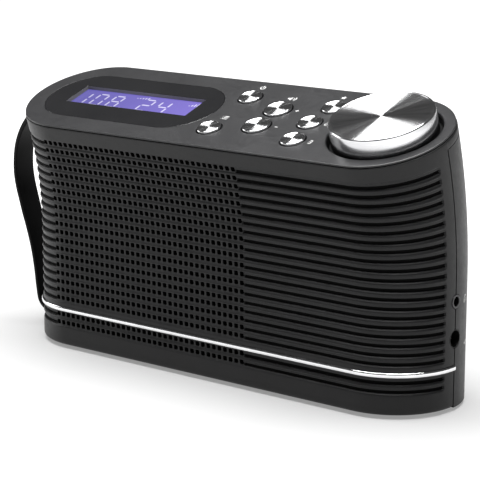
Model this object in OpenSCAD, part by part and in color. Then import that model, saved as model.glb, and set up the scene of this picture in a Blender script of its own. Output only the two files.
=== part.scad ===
// Tabletop digital radio: two moulded shells under a tilted control deck.
// Body coordinates: x across, v from the front face to the back, s up the front face.
// The lower body is a straight prism. Above straight_h the same section leans forward
// along an arc, so every level of the upper body is square to that arc.

/* [Body] */
// Width of the two shells
body_w = 214.4; // [190:0.2:240]
// Depth of the shells, front face to back face
body_d = 59; // [54:0.5:66]
// Wall thickness of the shells
wall = 2.4; // [2:0.1:3]
// Height at which the body starts to lean forward
straight_h = 50.5; // [45:0.5:56]
// Radius of the lean, measured to the front face
bend_r = 150; // [130:1:180]
// Angle of the lean, which is also the tilt of the deck
lean = 19.5; // [15:0.5:22]
// Height of the rubber feet below the shells
foot_h = 1.5; // [1:0.1:3]

/* [Grille] */
// Distance between grille rows
row_pitch = 3.75; // [3.5:0.05:4]
// Height of the lowest grille row
first_row = 9.2; // [8:0.1:12]
// Number of row positions, one of which holds the trim strip
row_count = 23; // [20:1:24]
// Row position of the trim strip, counted from the lowest
strip_row = 2; // [1:1:4]
// Depth of the moulded grooves
groove_depth = 1.1; // [0.6:0.1:1.4]
// Left edge of the field of sound holes
field_left = -81.4; // [-90:0.2:-70]
// Width of the field of sound holes
field_w = 106; // [80:1:120]

/* [Deck] */
// Thickness of the deck plate
deck_t = 2.4; // [2.2:0.1:3]
// Thickness of the deck's rim, which caps the shells
rim_t = 0.8; // [0.6:0.1:1.2]
// Radius of the tuning dial at its base
dial_r = 21.8; // [18:0.1:22]
// Height of the dial above the deck
dial_h = 7.2; // [5:0.1:9]
// Distance of the dial from the centre of the body
dial_x = 80; // [76:0.5:82]
// Radius of the small round buttons
button_r = 5.2; // [4.6:0.1:5.6]
// Radius of the two volume buttons
volume_r = 6.1; // [5.4:0.1:6.4]
// Travel of each button
button_travel = 0.6; // [0.4:0.1:0.8]

/* [Display] */
// Width of the lit part of the display
lcd_w = 68.4; // [60:0.1:72]
// Depth of the lit part of the display
lcd_d = 15.3; // [12:0.1:18]
// Radius of the window's round ends
window_r = 19.1; // [16:0.1:20]
// Distance between the centres of the window's round ends
window_span = 54.2; // [45:0.1:60]

/* [Aerial] */
// Length of the outer tube of the aerial
aerial_len = 130; // [110:1:134]
// Radius of the outer tube of the aerial
aerial_r = 2.6; // [2.4:0.1:2.8]
// Angle up the lean at which the aerial lies
aerial_angle = 10.5; // [9:0.5:11]

/* [Strap] */
// Width of the carrying strap
strap_w = 12; // [10:0.5:14]
// Thickness of the carrying strap
strap_t = 2; // [1.6:0.1:2.6]

/* [Hidden] */
$fn = 64;
big = 400;
gap = 0.3;
end_r = body_d / 2;
seam_v = body_d / 2;
mid_x = 1.3;          // the middle of the shells, across
left_end = mid_x - body_w / 2;
right_end = mid_x + body_w / 2;
strap_reach = 22.62;  // how far the strap stands out of the left-hand end
door_ridge = 0.7;
// These two put the origin under the middle of the whole object.
body_x = (strap_reach - 0.8) / 2 - mid_x;
body_y = -(body_d + door_ridge - bend_r * (1 - cos(lean))) / 2;
back_r = bend_r + body_d;
band_angle = 1.5;     // height of the front shell's closed band under the deck
deck_y = -bend_r * (1 - cos(lean));
deck_z = straight_h + bend_r * sin(lean);
arc_len = bend_r * lean * PI / 180;

screw_r = 1.5;
boss_r = 3.4;
boss_start = 1.8;

// Grille
groove_h = 1.2;
groove_rise = 0.6;  // the groove runs along the lower edge of each row of slots
slot_rise = 1.3;
groove_end_v = 23;
slot_h = 1.6;
slot_columns = 4;
slot_rib = 2.4;
strip_s = first_row + strip_row * row_pitch;
strip_h = 2.1;
strip_proud = 0.8;

// Speaker
speaker_x = -31;
speaker_z = 50;
speaker_r = 38;
speaker_y = 5.4;

// Deck pieces, heights measured from the deck surface
deck_v = body_d / 2;
rim_inset = 0.3;
rim_gap = 0.3;
board_top = -12;
board_t = 1.6;
well_r = 23.4;
well_depth = 4.6;
well_floor = 1.8;
shaft_r = 3;
collar_r = 3.5;
dial_travel = 0.8;
button_gap = 0.45;
button_proud = 0.9;
switch_h = 3.5;
window_x = -51;
window_t = 1.6;
lcd_x = -50.5;
lcd_v = 30.2;
on_off_at = [3.2, 43.7];
menu_at = [2.5, 15.1];
volume_up_at = [22.9, 36.4];
volume_down_at = [22.5, 21.4];
preset_1_at = [46.7, 43.2];
preset_2_at = [44.2, 28.9];
preset_3_at = [45.8, 14.4];
SMALL_BUTTONS = [on_off_at, menu_at, preset_1_at, preset_2_at, preset_3_at];
VOLUME_BUTTONS = [volume_up_at, volume_down_at];
BOARD_SCREWS = [[-96.4, 22], [-96.4, 37], [12, 6.5], [54, 8], [54, 51]];
main_board_y = 9.5;
MAIN_SCREWS = [[28, 18], [74, 18], [28, 74], [74, 74]];

// Sockets in the right-hand end
jack_z = 43.9;
dc_z = 28.6;
jack_r = 3.1;
dc_r = 3.9;

// Batteries
cell_r = 7.1;
cell_len = 50;
tray_x = 54;
tray_y0 = 40.2;
tray_y1 = 55.1;
tray_z0 = 8;
tray_z1 = 40.5;
tray_wall = 1.4;
CELL_ROWS = [16.6, 31.9];
door_x = 61;
door_z0 = 6;
door_z1 = 43;
door_t = 2;

// Aerial, in a frame whose y points out of the back
pivot_x = 64;
pivot_y = -2.2;
barrel_r = 3.3;
barrel_end = 76;
fork_r = 3;
tongue_t = 2;
tube_wall = 0.4;
tube_fit = 0.05;
tube_start = 3.4;
aerial_swing = 75;

// Strap, points (x, s) along the middle of its thickness, chosen by hand
anchor_x = -101.5;
STRAP = [[anchor_x, 7], [-109, 6.2], [-114.2, 9.5], [-115.8, 16], [-116.8, 24], [-118.6, 34],
         [-121.5, 44], [-125, 54], [-127.2, 62], [-127.3, 69], [-125, 77], [-121, 83.5],
         [-115.5, 89.2], [-109.3, 93.6], [anchor_x, 94.5]];
strap_steps = 3;
anchor_s = [7, 94.5];

FEET = [[-78, 12], [78, 12], [-78, 47], [78, 47]];
CASE_SCREWS = [[-81.4, 18], [84, 18], [-81.4, 66], [84, 56]];

// ---- frames -------------------------------------------------------------

// The body stands on its feet, with the origin under the middle of the object.
module placed() {
    translate([body_x, body_y, foot_h]) children();
}

// Deck frame: x across, y up the slope of the deck, z out of the deck.
module on_deck() {
    placed() translate([0, deck_y, deck_z]) rotate([lean, 0, 0]) children();
}

module at_deck(place) {
    on_deck() translate([place[0], place[1], 0]) children();
}

// Level frame at a distance s up the front face: y into the body, z up the spine.
module at_level(s) {
    if (s <= straight_h) {
        translate([0, 0, s]) children();
    } else {
        a = (s - straight_h) / bend_r * 180 / PI;
        translate([0, -bend_r, straight_h]) rotate([a, 0, 0]) translate([0, bend_r, 0])
            children();
    }
}

// Frame on the back face: y points out of the back, z up the back.
module on_back(a) {
    placed() translate([0, -bend_r, straight_h]) rotate([a, 0, 0])
        translate([0, back_r, 0]) children();
}

// A point of the body given as across, into and up the front face.
function lean_at(s) = max(0, (s - straight_h) / bend_r * 180 / PI);
function body_point(x, v, s) =
    [x,
     -bend_r + (bend_r + v) * cos(lean_at(s)),
     min(s, straight_h) + (bend_r + v) * sin(lean_at(s))];

// ---- body sections ------------------------------------------------------

// Plan of the body: a slab with round ends, moved in by inset.
module plan(inset) {
    x = body_w / 2 - end_r;
    r = end_r - inset;
    translate([mid_x - x, inset]) square([2 * x, 2 * r]);
    for (side = [-1, 1]) translate([mid_x + side * x, end_r]) circle(r, $fn = 96);
}

module wall_ring(inset = 0, thick = wall) {
    difference() {
        plan(inset);
        plan(inset + thick);
    }
}

module front_half(limit = seam_v) {
    intersection() {
        children();
        translate([-big / 2, -big / 2]) square([big, big / 2 + limit]);
    }
}

module back_side() {
    translate([-big / 2, seam_v]) square([big, body_d]);
}

module back_half() {
    intersection() {
        children();
        back_side();
    }
}

// Sweeps a plan shape along the lean, between two angles.
module leaning(from, to) {
    translate([0, -bend_r, straight_h]) rotate([90, 0, 90]) rotate([0, 0, from])
        rotate_extrude(angle = to - from, $fn = 240)
            translate([bend_r, 0]) mirror([1, 0]) rotate(90) children();
}

module upright(from, to) {
    translate([0, 0, from]) linear_extrude(to - from) children();
}

// A thin level cut or rib at distance s, height h, from a plan shape.
module level_slab(s, h) {
    at_level(s) translate([0, 0, -h / 2]) linear_extrude(h) children();
}

module screw(len, head_r = 2.8, head_h = 1.6) {
    cylinder(h = len, r = screw_r);
    translate([0, 0, len]) cylinder(h = head_h, r = head_r);
}

// ---- shells -------------------------------------------------------------

module socket_hole(z, r) {
    translate([right_end - 12, seam_v, z]) rotate([0, 90, 0]) cylinder(h = 20, r = r);
}

module strap_slot(s) {
    at_level(s) translate([left_end - 4, seam_v - strap_w / 2 - gap, -strap_t / 2 - 1.2])
        cube([12, strap_w + 2 * gap, strap_t + 2.4]);
}

// Slots behind one groove, shared by the columns of the hole field.
module sound_slots(s) {
    w = (field_w - (slot_columns - 1) * slot_rib) / slot_columns;
    for (i = [0:slot_columns - 1])
        at_level(s) translate([field_left + i * (w + slot_rib), -1, -slot_h / 2])
            cube([w, wall + 2, slot_h]);
}

module groove_plan() {
    front_half(groove_end_v) difference() {
        plan(-1);
        plan(groove_depth);
    }
}

module grille_cuts() {
    for (i = [0:row_count - 1])
        if (i != strip_row) {
            s = first_row + i * row_pitch;
            level_slab(s + groove_rise, groove_h) groove_plan();
            sound_slots(s + slot_rise);
        }
}

module front_shell() {
    placed() color("#1b1b1d") difference() {
        union() {
            difference() {
                union() {
                    upright(0, wall) plan(0);
                    upright(0, straight_h) wall_ring();
                    leaning(0, lean) wall_ring();
                }
                union() {
                    upright(-1, straight_h) back_side();
                    leaning(0, lean - band_angle) back_side();
                }
            }
            for (a = [0:90:270]) speaker_boss(a + 45);
            for (place = CASE_SCREWS) case_boss(place);
            for (place = MAIN_SCREWS) main_board_post(place);
            translate([0, deck_y, deck_z]) rotate([lean, 0, 0]) deck_ledge();
        }
        translate([0, deck_y, deck_z]) rotate([lean, 0, 0])
            translate([0, 0, -rim_t - rim_gap]) linear_extrude(10) plan(-2);
        grille_cuts();
        level_slab(strip_s, strip_h + 0.1) front_half() difference() {
            plan(-1);
            plan(0.6);
        }
        socket_hole(jack_z, jack_r);
        socket_hole(dc_z, dc_r);
        strap_slot(anchor_s[0]);
        strap_slot(anchor_s[1]);
        for (place = CASE_SCREWS)
            translate([place[0], 8, place[1]]) rotate([-90, 0, 0]) cylinder(h = 40, r = 1.55);
        for (a = [0:90:270]) speaker_screw_hole(a + 45);
        for (place = MAIN_SCREWS)
            translate([place[0], 4, place[1]]) rotate([-90, 0, 0]) cylinder(h = 20, r = 1.05);
    }
}

// Inner step that the deck plate rests on.
module deck_ledge() {
    translate([0, 0, -deck_t - 2.1]) linear_extrude(2) difference() {
        plan(wall - 0.2);
        plan(wall + 1.4);
        translate([dial_x, deck_v]) circle(well_r + 1.8);
    }
}

module speaker_at(a) {
    translate([speaker_x + (speaker_r - 2.2) * cos(a), 0, speaker_z + (speaker_r - 2.2) * sin(a)])
        rotate([-90, 0, 0]) children();
}

module speaker_boss(a) {
    speaker_at(a) translate([0, 0, -lean_depth(a)]) cylinder(h = speaker_y + lean_depth(a), r = 3.2);
}

// How far the leaning front wall is ahead of the flat one at a speaker screw.
function lean_depth(a) = a < 180 ? 0.2 : -1;

module speaker_screw_hole(a) {
    speaker_at(a) translate([0, 0, 1.9]) cylinder(h = 8, r = 1.55);
}

module case_boss(place) {
    translate([place[0], boss_start, place[1]]) rotate([-90, 0, 0])
        cylinder(h = seam_v - boss_start, r = boss_r);
}

module rear_boss(place) {
    translate([place[0], seam_v, place[1]]) rotate([-90, 0, 0])
        cylinder(h = seam_v - boss_start - 0.6, r = boss_r);
}

module rear_shell() {
    color("#1b1b1d") difference() {
        union() {
            placed() {
                upright(0, wall) back_half() plan(0);
                upright(0, straight_h) back_half() wall_ring();
                leaning(0, lean - band_angle) back_half() wall_ring();
                for (place = CASE_SCREWS) rear_boss(place);
                door_frame();
            }
            on_back(aerial_angle) aerial_housing();
        }
        placed() {
            door_opening();
            socket_hole(jack_z, jack_r);
            socket_hole(dc_z, dc_r);
            strap_slot(anchor_s[0]);
            strap_slot(anchor_s[1]);
            for (place = CASE_SCREWS) case_screw_hole(place);
        }
        on_back(aerial_angle) aerial_pocket();
    }
}

module case_screw_hole(place) {
    translate([place[0], seam_v - 1, place[1]]) rotate([-90, 0, 0])
        cylinder(h = 40, r = 1.6);
    translate([place[0], seam_v + 16, place[1]]) rotate([-90, 0, 0])
        cylinder(h = 40, r = 3);
}

module door_frame() {
    translate([-door_x - 2, body_d - wall - 1.4, door_z0 - 2])
        cube([2 * door_x + 4, wall + 1, door_z1 - door_z0 + 4]);
}

module door_opening() {
    translate([-door_x, body_d - door_t - 0.2, door_z0])
        cube([2 * door_x, 10, door_z1 - door_z0]);
    translate([-tray_x + 1.2, body_d - 12, tray_z0 + 1.2])
        cube([2 * tray_x - 2.4, 20, tray_z1 - tray_z0 - 2.4]);
}

// Walls behind the channel that the aerial folds into. The channel runs out through
// the round end of the shell, so that the aerial can be drawn out while it is folded.
module aerial_housing() {
    translate([0, -body_d, -6.4]) linear_extrude(12.8) intersection() {
        plan(0.5);
        translate([-96, body_d - 8.4]) square([176.2, 10]);
    }
    translate([pivot_x - 6.4, -8.4, 0]) cube([12.8, 7.2, 17]);
    translate([-80, -8.4, -12]) cube([20, 7.2, 14]);
}

module aerial_pocket() {
    translate([-110, -6.6, -4.2]) cube([188.8, 12, 8.4]);
    translate([pivot_x - 3.4, 0, 0]) rotate([90, 0, 90]) linear_extrude(6.8)
        polygon([[-5.6, 0], [-5.4, 1], [0, 21], [4, 21], [4, 0]]);
    translate([-76, 1.2, -5]) rotate([0, 90, 0]) cylinder(h = 12, r = 5);
    translate([barrel_end - 2, pivot_y, 0]) rotate([0, 90, 0]) cylinder(h = 8, r = 1.7);
}

module chrome_strip() {
    placed() color("#e8e8ea") level_slab(strip_s, strip_h) front_half(seam_v - 0.2) difference() {
        plan(-strip_proud);
        plan(0.55);
    }
}

module cloth_plan() {
    intersection() {
        wall_ring(wall + 0.1, 0.5);
        translate([field_left - 1, -1]) square([field_w + 2, 10]);
    }
}

module grille_cloth() {
    placed() color("#141416") difference() {
        union() {
            upright(first_row - 3, straight_h) cloth_plan();
            leaning(0, lean - 2.8) cloth_plan();
        }
        for (a = [0:90:270]) speaker_at(a + 45) translate([0, 0, -5]) cylinder(h = 15, r = 3.5);
        for (place = CASE_SCREWS)
            translate([place[0], -5, place[1]]) rotate([-90, 0, 0]) cylinder(h = 40, r = boss_r + gap);
    }
}

// ---- deck ---------------------------------------------------------------

module button_hole(place, r) {
    translate([place[0], place[1], -deck_t - 1]) cylinder(h = deck_t + 2, r = r + button_gap);
}

module window_plan(grow = 0) {
    x = window_span / 2;
    r = window_r + grow;
    translate([window_x - x, deck_v - r]) square([2 * x, 2 * r]);
    for (side = [-1, 1]) translate([window_x + side * x, deck_v]) circle(r);
}

module lcd_plan(grow) {
    translate([lcd_x - lcd_w / 2 - grow, lcd_v - lcd_d / 2 - grow])
        square([lcd_w + 2 * grow, lcd_d + 2 * grow]);
}

module board_post(place) {
    translate([place[0], place[1], board_top]) difference() {
        cylinder(h = -board_top - deck_t + 0.4, r = 2.6);
        translate([0, 0, -1]) cylinder(h = 8, r = 1.05);
    }
}

module top_deck() {
    on_deck() color("#222225") difference() {
        union() {
            translate([0, 0, -rim_t]) linear_extrude(rim_t) plan(rim_inset);
            translate([0, 0, -deck_t]) linear_extrude(deck_t - 0.5) plan(wall + 0.2);
            translate([dial_x, deck_v, -well_depth - well_floor])
                cylinder(h = well_depth + well_floor - 0.2, r = well_r + 1.5);
            for (place = BOARD_SCREWS) board_post(place);
        }
        translate([dial_x, deck_v, -well_depth]) cylinder(h = 20, r = well_r);
        translate([dial_x, deck_v, -20]) cylinder(h = 30, r = 4.7);
        for (place = SMALL_BUTTONS) button_hole(place, button_r);
        for (place = VOLUME_BUTTONS) button_hole(place, volume_r);
        translate([0, 0, -window_t - 0.05]) linear_extrude(5) window_plan(0.1);
        translate([0, 0, -deck_t - 1]) linear_extrude(5) lcd_plan(1);
    }
}

module display_window() {
    on_deck() color("#08080a") difference() {
        translate([0, 0, -window_t]) linear_extrude(window_t - 0.05) window_plan();
        translate([0, 0, -5]) linear_extrude(10) lcd_plan(0.05);
    }
}

module lcd_glass() {
    on_deck() color("#6a60c0") translate([0, 0, -window_t - 1]) linear_extrude(window_t + 0.85)
        lcd_plan(0);
}

module lcd_frame() {
    on_deck() color("#b9bcc2") translate([0, 0, -6.4]) linear_extrude(3.7) difference() {
        lcd_plan(3);
        lcd_plan(1.6);
    }
}

module lcd_backlight() {
    on_deck() color("#dfe3ff") translate([0, 0, -6.4]) linear_extrude(3.6) lcd_plan(1.5);
}

module control_board() {
    on_deck() color("#1f5a34") difference() {
        translate([-100, 4, board_top - board_t]) cube([202, 51, board_t]);
        for (side = [-1, 1]) translate([side * 101, deck_v, board_top - 5])
            difference() {
                translate([side > 0 ? -20 : -40, -40, 0]) cube([60, 80, 10]);
                translate([-side * 26, 0, -1]) cylinder(h = 12, r = 26);
                translate([side > 0 ? -60 : 26, -60, -1]) cube([34, 120, 12]);
            }
        for (place = BOARD_SCREWS) translate([place[0], place[1], board_top - 5])
            cylinder(h = 10, r = 1.3);
    }
}

module board_screws() {
    color("#9a9ca0") placed() for (place = MAIN_SCREWS) main_board_screw(place);
    on_deck() color("#9a9ca0") for (place = BOARD_SCREWS)
        translate([place[0], place[1], board_top - board_t]) mirror([0, 0, 1])
            translate([0, 0, -6]) {
                cylinder(h = 6, r = 1);
                translate([0, 0, 6]) cylinder(h = 1.2, r = 2);
            }
}

module tact_switches() {
    on_deck() color("#30323a") for (place = concat(SMALL_BUTTONS, VOLUME_BUTTONS))
        translate([place[0], place[1], board_top]) {
            translate([-3, -3, 0]) cube([6, 6, switch_h - 0.6]);
            cylinder(h = switch_h, r = 1.7);
        }
}

// A round key: cap, retaining flange under the deck, and stem down to its switch.
module key(place, r) {
    stem_end = board_top + switch_h + button_travel + 0.35;
    at_deck(place) color("#c9cacc") {
        translate([0, 0, -deck_t - 0.2]) cylinder(h = deck_t + 0.2 + button_proud, r = r);
        translate([0, 0, -deck_t - 1]) cylinder(h = 0.8, r = r + 1);
        translate([0, 0, stem_end]) cylinder(h = -deck_t - 0.5 - stem_end, r = 1.8);
    }
}

module on_off_button() { key(on_off_at, button_r); }
module menu_button() { key(menu_at, button_r); }
module volume_up_button() { key(volume_up_at, volume_r); }
module volume_down_button() { key(volume_down_at, volume_r); }
module preset_1_button() { key(preset_1_at, button_r); }
module preset_2_button() { key(preset_2_at, button_r); }
module preset_3_button() { key(preset_3_at, button_r); }

// ---- dial ---------------------------------------------------------------

module dial_skirt() {
    at_deck([dial_x, deck_v]) color("#d4d5d7") rotate_extrude($fn = 128)
        polygon([[shaft_r + 0.02, -3], [shaft_r + 2.5, -3], [shaft_r + 2.5, 1.5],
                 [dial_r - 2.6, 1.5], [dial_r - 2.6, -3.4], [dial_r, -3.4],
                 [dial_r - 0.5, dial_h - 0.9], [dial_r - 1.3, dial_h - 0.1],
                 [dial_r - 1.3, dial_h - 1.7], [shaft_r + 0.02, dial_h - 1.7]]);
}

module dial_cap() {
    at_deck([dial_x, deck_v]) color("#c9cacc") translate([0, 0, dial_h - 1.7])
        cylinder(h = 1.7, r = dial_r - 1.35, $fn = 128);
}

module encoder_shaft() {
    at_deck([dial_x, deck_v]) color("#8e9094") translate([0, 0, board_top + 1.1])
        cylinder(h = dial_h - 1.7 - board_top - 1.1, r = shaft_r);
}

module encoder_collar() {
    at_deck([dial_x, deck_v]) color("#a8893f") translate([0, 0, board_top + 1]) difference() {
        cylinder(h = 4.2, r = collar_r);
        translate([0, 0, -1]) cylinder(h = 8, r = shaft_r + 0.05);
    }
}

module encoder_body() {
    at_deck([dial_x, deck_v]) color("#3a3d42") translate([0, 0, board_top]) difference() {
        union() {
            translate([-6.5, -6.5, 0]) cube([13, 13, 5.2]);
            cylinder(h = 7.6, r = 4.5);
        }
        translate([0, 0, -1]) cylinder(h = 12, r = collar_r + 0.05);
    }
}

// ---- boards and speaker -------------------------------------------------

module main_board() {
    placed() color("#1f5a34") difference() {
        translate([24, main_board_y, 14]) cube([54, board_t, 64]);
        for (place = MAIN_SCREWS) translate([place[0], 0, place[1]]) rotate([-90, 0, 0])
            cylinder(h = 20, r = 1.3);
    }
}

// Posts inside the front shell that carry the main board.
module main_board_post(place) {
    start = place[1] > straight_h ? -0.2 : boss_start;
    translate([place[0], start, place[1]]) rotate([-90, 0, 0]) cylinder(h = main_board_y - start, r = 2.8);
}

module main_board_screw(place) {
    translate([place[0], main_board_y + board_t - 6, place[1]]) rotate([-90, 0, 0]) {
        cylinder(h = 6, r = 1);
        translate([0, 0, 6]) cylinder(h = 1.2, r = 2);
    }
}

module tuner_module() {
    placed() color("#b4b7bb") translate([34, main_board_y + board_t, 40]) cube([32, 4, 26]);
}

module speaker_frame_at() {
    placed() translate([speaker_x, speaker_y, speaker_z]) rotate([-90, 0, 0]) children();
}

module speaker_basket() {
    speaker_frame_at() color("#2b2d30") difference() {
        rotate_extrude($fn = 96) polygon([[speaker_r - 4.7, 0.2], [speaker_r, 0.2],
            [speaker_r, 1.8], [speaker_r - 3.7, 1.8], [21, 16], [21, 18], [9, 18], [9, 16.6],
            [19.8, 16.6], [speaker_r - 4.7, 1.8]]);
        for (a = [0:90:270]) rotate(a + 45) translate([speaker_r - 2.2, 0, -1]) {
            cylinder(h = 6, r = 1.6);
            translate([0, 0, 2.7]) cylinder(h = 30, r = 3.05);
        }
    }
}

module speaker_magnet() {
    speaker_frame_at() color("#4a4c50") rotate_extrude()
        polygon([[0, 15], [6.5, 15], [6.5, 25], [9, 25], [9, 18], [20, 18], [20, 29], [0, 29]]);
}

module speaker_cone() {
    speaker_frame_at() color("#17171a") rotate_extrude($fn = 96)
        polygon([[28.2, 1.45], [28.9, 1.45], [8.3, 13.5], [8.3, 20], [7.7, 20], [7.7, 13]]);
}

module speaker_surround() {
    speaker_frame_at() color("#0f0f10") rotate_extrude($fn = 96) difference() {
        union() {
            translate([30.6, 1.4]) circle(2.4, $fn = 48);
            translate([32.6, 0.75]) square([0.7, 0.7]);
        }
        translate([30.6, 1.4]) circle(1.9, $fn = 48);
        translate([20, 1.45]) square([20, 10]);
    }
}

module speaker_dust_cap() {
    speaker_frame_at() color("#202024") translate([0, 0, 20]) intersection() {
        difference() {
            sphere(12.4);
            sphere(11.8);
        }
        translate([0, 0, -13.8]) cylinder(h = 5.8, r = 12);
    }
}

module speaker_screws() {
    placed() color("#9a9ca0") for (a = [0:90:270])
        speaker_at(a + 45) translate([0, 0, 3]) {
            cylinder(h = speaker_y - 3 + 1.7, r = 1.5);
            translate([0, 0, speaker_y - 3 + 1.7]) cylinder(h = 1.3, r = 2.7);
        }
}

// ---- sockets ------------------------------------------------------------

module headphone_jack() {
    placed() color("#101012") translate([0, seam_v, jack_z]) rotate([0, 90, 0]) difference() {
        union() {
            translate([-3.5, -3.5, right_end - 15]) cube([7, 8, 12.1]);
            translate([0, 0, right_end - 4]) cylinder(h = 4.2, r = jack_r - 0.1);
        }
        translate([0, 0, right_end - 14]) cylinder(h = 20, r = 1.8);
    }
}

module dc_socket() {
    placed() color("#101012") translate([0, seam_v, dc_z]) rotate([0, 90, 0]) {
        difference() {
            union() {
                translate([-4.5, -4.5, right_end - 14]) cube([9, 9, 11.1]);
                translate([0, 0, right_end - 4]) cylinder(h = 3.9, r = dc_r - 0.1);
            }
            translate([0, 0, right_end - 11]) cylinder(h = 20, r = 2.8);
        }
        translate([0, 0, right_end - 11.5]) cylinder(h = 9.5, r = 0.65);
    }
}

module jack_board() {
    placed() color("#1f5a34") translate([89, seam_v + 4.6, 23]) cube([15, board_t, 27]);
}

// ---- batteries ----------------------------------------------------------

module battery_tray() {
    placed() color("#26262a") difference() {
        translate([-tray_x, tray_y0, tray_z0])
            cube([2 * tray_x, tray_y1 - tray_y0, tray_z1 - tray_z0]);
        translate([-tray_x + tray_wall, tray_y0 + tray_wall, tray_z0 + tray_wall])
            cube([2 * (tray_x - tray_wall), 30, tray_z1 - tray_z0 - 2 * tray_wall]);
    }
}

module cell() {
    cylinder(h = cell_len - 1.2, r = cell_r);
    translate([0, 0, cell_len - 1.3]) cylinder(h = 1.3, r = 2.7);
}

cell_y = tray_y0 + tray_wall + cell_r + 0.2;
cell_start = -49.75;
spring_pitch = 0.7;

module batteries() {
    placed() color("#5a7f4f") for (row = [0, 1]) {
        dir = row == 0 ? 1 : -1;
        for (k = [0, 1]) translate([dir * (cell_start + k * cell_len), cell_y, CELL_ROWS[row]])
            rotate([0, dir * 90, 0]) cell();
    }
}

module battery_springs() {
    placed() color("#c8c9cb") for (row = [0, 1]) {
        dir = row == 0 ? -1 : 1;
        for (i = [0:2])
            translate([dir * (tray_x - tray_wall - 0.9 - i * spring_pitch), cell_y, CELL_ROWS[row]])
                rotate([0, 90, 0]) rotate_extrude() translate([4.6 - i * 0.6, 0])
                    circle(0.5, $fn = 24);
    }
}

module battery_contacts() {
    placed() color("#c8c9cb") {
        for (row = [0, 1]) {
            dir = row == 0 ? -1 : 1;
            translate([dir * (tray_x - tray_wall - 0.2) - 0.2, cell_y - 6, CELL_ROWS[row] - 6])
                cube([0.4, 12, 12]);
        }
        for (row = [0, 1]) {
            dir = row == 0 ? 1 : -1;
            translate([dir * (tray_x - tray_wall - 1.15) - 1.15, cell_y - 5, CELL_ROWS[row] - 5])
                cube([2.3, 10, 10]);
        }
    }
}

module battery_door() {
    placed() color("#1b1b1d") {
        translate([-door_x + gap, body_d - door_t, door_z0 + gap])
            cube([2 * (door_x - gap), door_t, door_z1 - door_z0 - 2 * gap]);
        for (i = [0:3]) translate([-9, body_d - 0.2, door_z1 - 8 + i * 1.6])
            cube([18, 0.2 + door_ridge, 0.8]);
    }
}

// ---- aerial -------------------------------------------------------------

module aerial_axis() {
    on_back(aerial_angle) translate([pivot_x, pivot_y, 0]) children();
}

module aerial_bracket() {
    on_back(aerial_angle) color("#b4b7bb") difference() {
        translate([barrel_end + 1.6, pivot_y - 4.2, -4]) cube([1.2, 5.6, 8]);
        translate([barrel_end - 2, pivot_y, 0]) rotate([0, 90, 0]) cylinder(h = 8, r = 1.55);
    }
}

module aerial_barrel() {
    aerial_axis() color("#d4d5d7") difference() {
        union() {
            intersection() {
                translate([-fork_r, 0, 0]) rotate([0, 90, 0])
                    cylinder(h = barrel_end - pivot_x + fork_r, r = barrel_r);
                union() {
                    translate([0, 0, -5]) cylinder(h = 10, r = fork_r);
                    translate([0, -5, -5]) cube([20, 10, 10]);
                }
            }
            translate([10, 0, 0]) rotate([0, 90, 0]) cylinder(h = 5.6, r = 1.5);
        }
        translate([-5, -5, -tongue_t / 2 - 0.1]) cube([7.6, 10, tongue_t + 0.2]);
        translate([0, 0, -5]) cylinder(h = 10, r = 0.95);
    }
}

module aerial_pin() {
    aerial_axis() color("#9a9ca0") translate([0, 0, -2.6]) cylinder(h = 5.2, r = 0.95);
}

module tube(r, len, bore, start) {
    translate([-start, 0, 0]) rotate([0, -90, 0]) difference() {
        cylinder(h = len, r = r);
        if (bore > 0) translate([0, 0, 2.2]) cylinder(h = len, r = bore);
    }
}

r2 = aerial_r - tube_wall - tube_fit;
r3 = r2 - tube_wall - tube_fit;
r4 = r3 - tube_wall - tube_fit;

module aerial_section_1() {
    aerial_axis() color("#d4d5d7") {
        tube(aerial_r, aerial_len, aerial_r - tube_wall, tube_start);
        difference() {
            union() {
                translate([-tube_start - 0.5, -2.2, -tongue_t / 2])
                    cube([tube_start + 0.5, 4.4, tongue_t]);
                translate([0, 0, -tongue_t / 2]) cylinder(h = tongue_t, r = 2.2);
            }
            translate([0, 0, -5]) cylinder(h = 10, r = 1);
        }
    }
}

module aerial_section_2() {
    aerial_axis() color("#d4d5d7")
        tube(r2, aerial_len - 2.5, r2 - tube_wall, tube_start + 3);
}

module aerial_section_3() {
    aerial_axis() color("#d4d5d7")
        tube(r3, aerial_len - 5, r3 - tube_wall, tube_start + 6);
}

module aerial_section_4() {
    aerial_axis() color("#d4d5d7")
        tube(r4, aerial_len - 7.5, 0, tube_start + 9);
}

module aerial_tip() {
    aerial_axis() color("#d4d5d7") translate([-tube_start - aerial_len - 1.5, 0, 0])
        rotate([0, -90, 0]) {
            cylinder(h = 3, r = aerial_r);
            translate([0, 0, 3]) cylinder(h = 1.2, r1 = aerial_r, r2 = 1.6);
        }
}

// ---- strap, feet and screws ---------------------------------------------

// Catmull-Rom curve through the hand-chosen strap points.
function spline(p0, p1, p2, p3, t) =
    0.5 * (2 * p1 + (p2 - p0) * t + (2 * p0 - 5 * p1 + 4 * p2 - p3) * t * t
           + (3 * p1 - p0 - 3 * p2 + p3) * t * t * t);
last = len(STRAP) - 1;
strap_path = [for (i = [0:last - 1], k = [0:strap_steps - 1])
                  spline(STRAP[max(0, i - 1)], STRAP[i], STRAP[i + 1],
                         STRAP[min(last, i + 2)], k / strap_steps),
              STRAP[last]];
function unit(p) = p / norm(p);
function strap_normal(i) =
    let (d = unit(strap_path[min(len(strap_path) - 1, i + 1)] - strap_path[max(0, i - 1)]))
    i == 0 || i == len(strap_path) - 1 ? [0, sign(d[0])] : [-d[1], d[0]];

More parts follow.
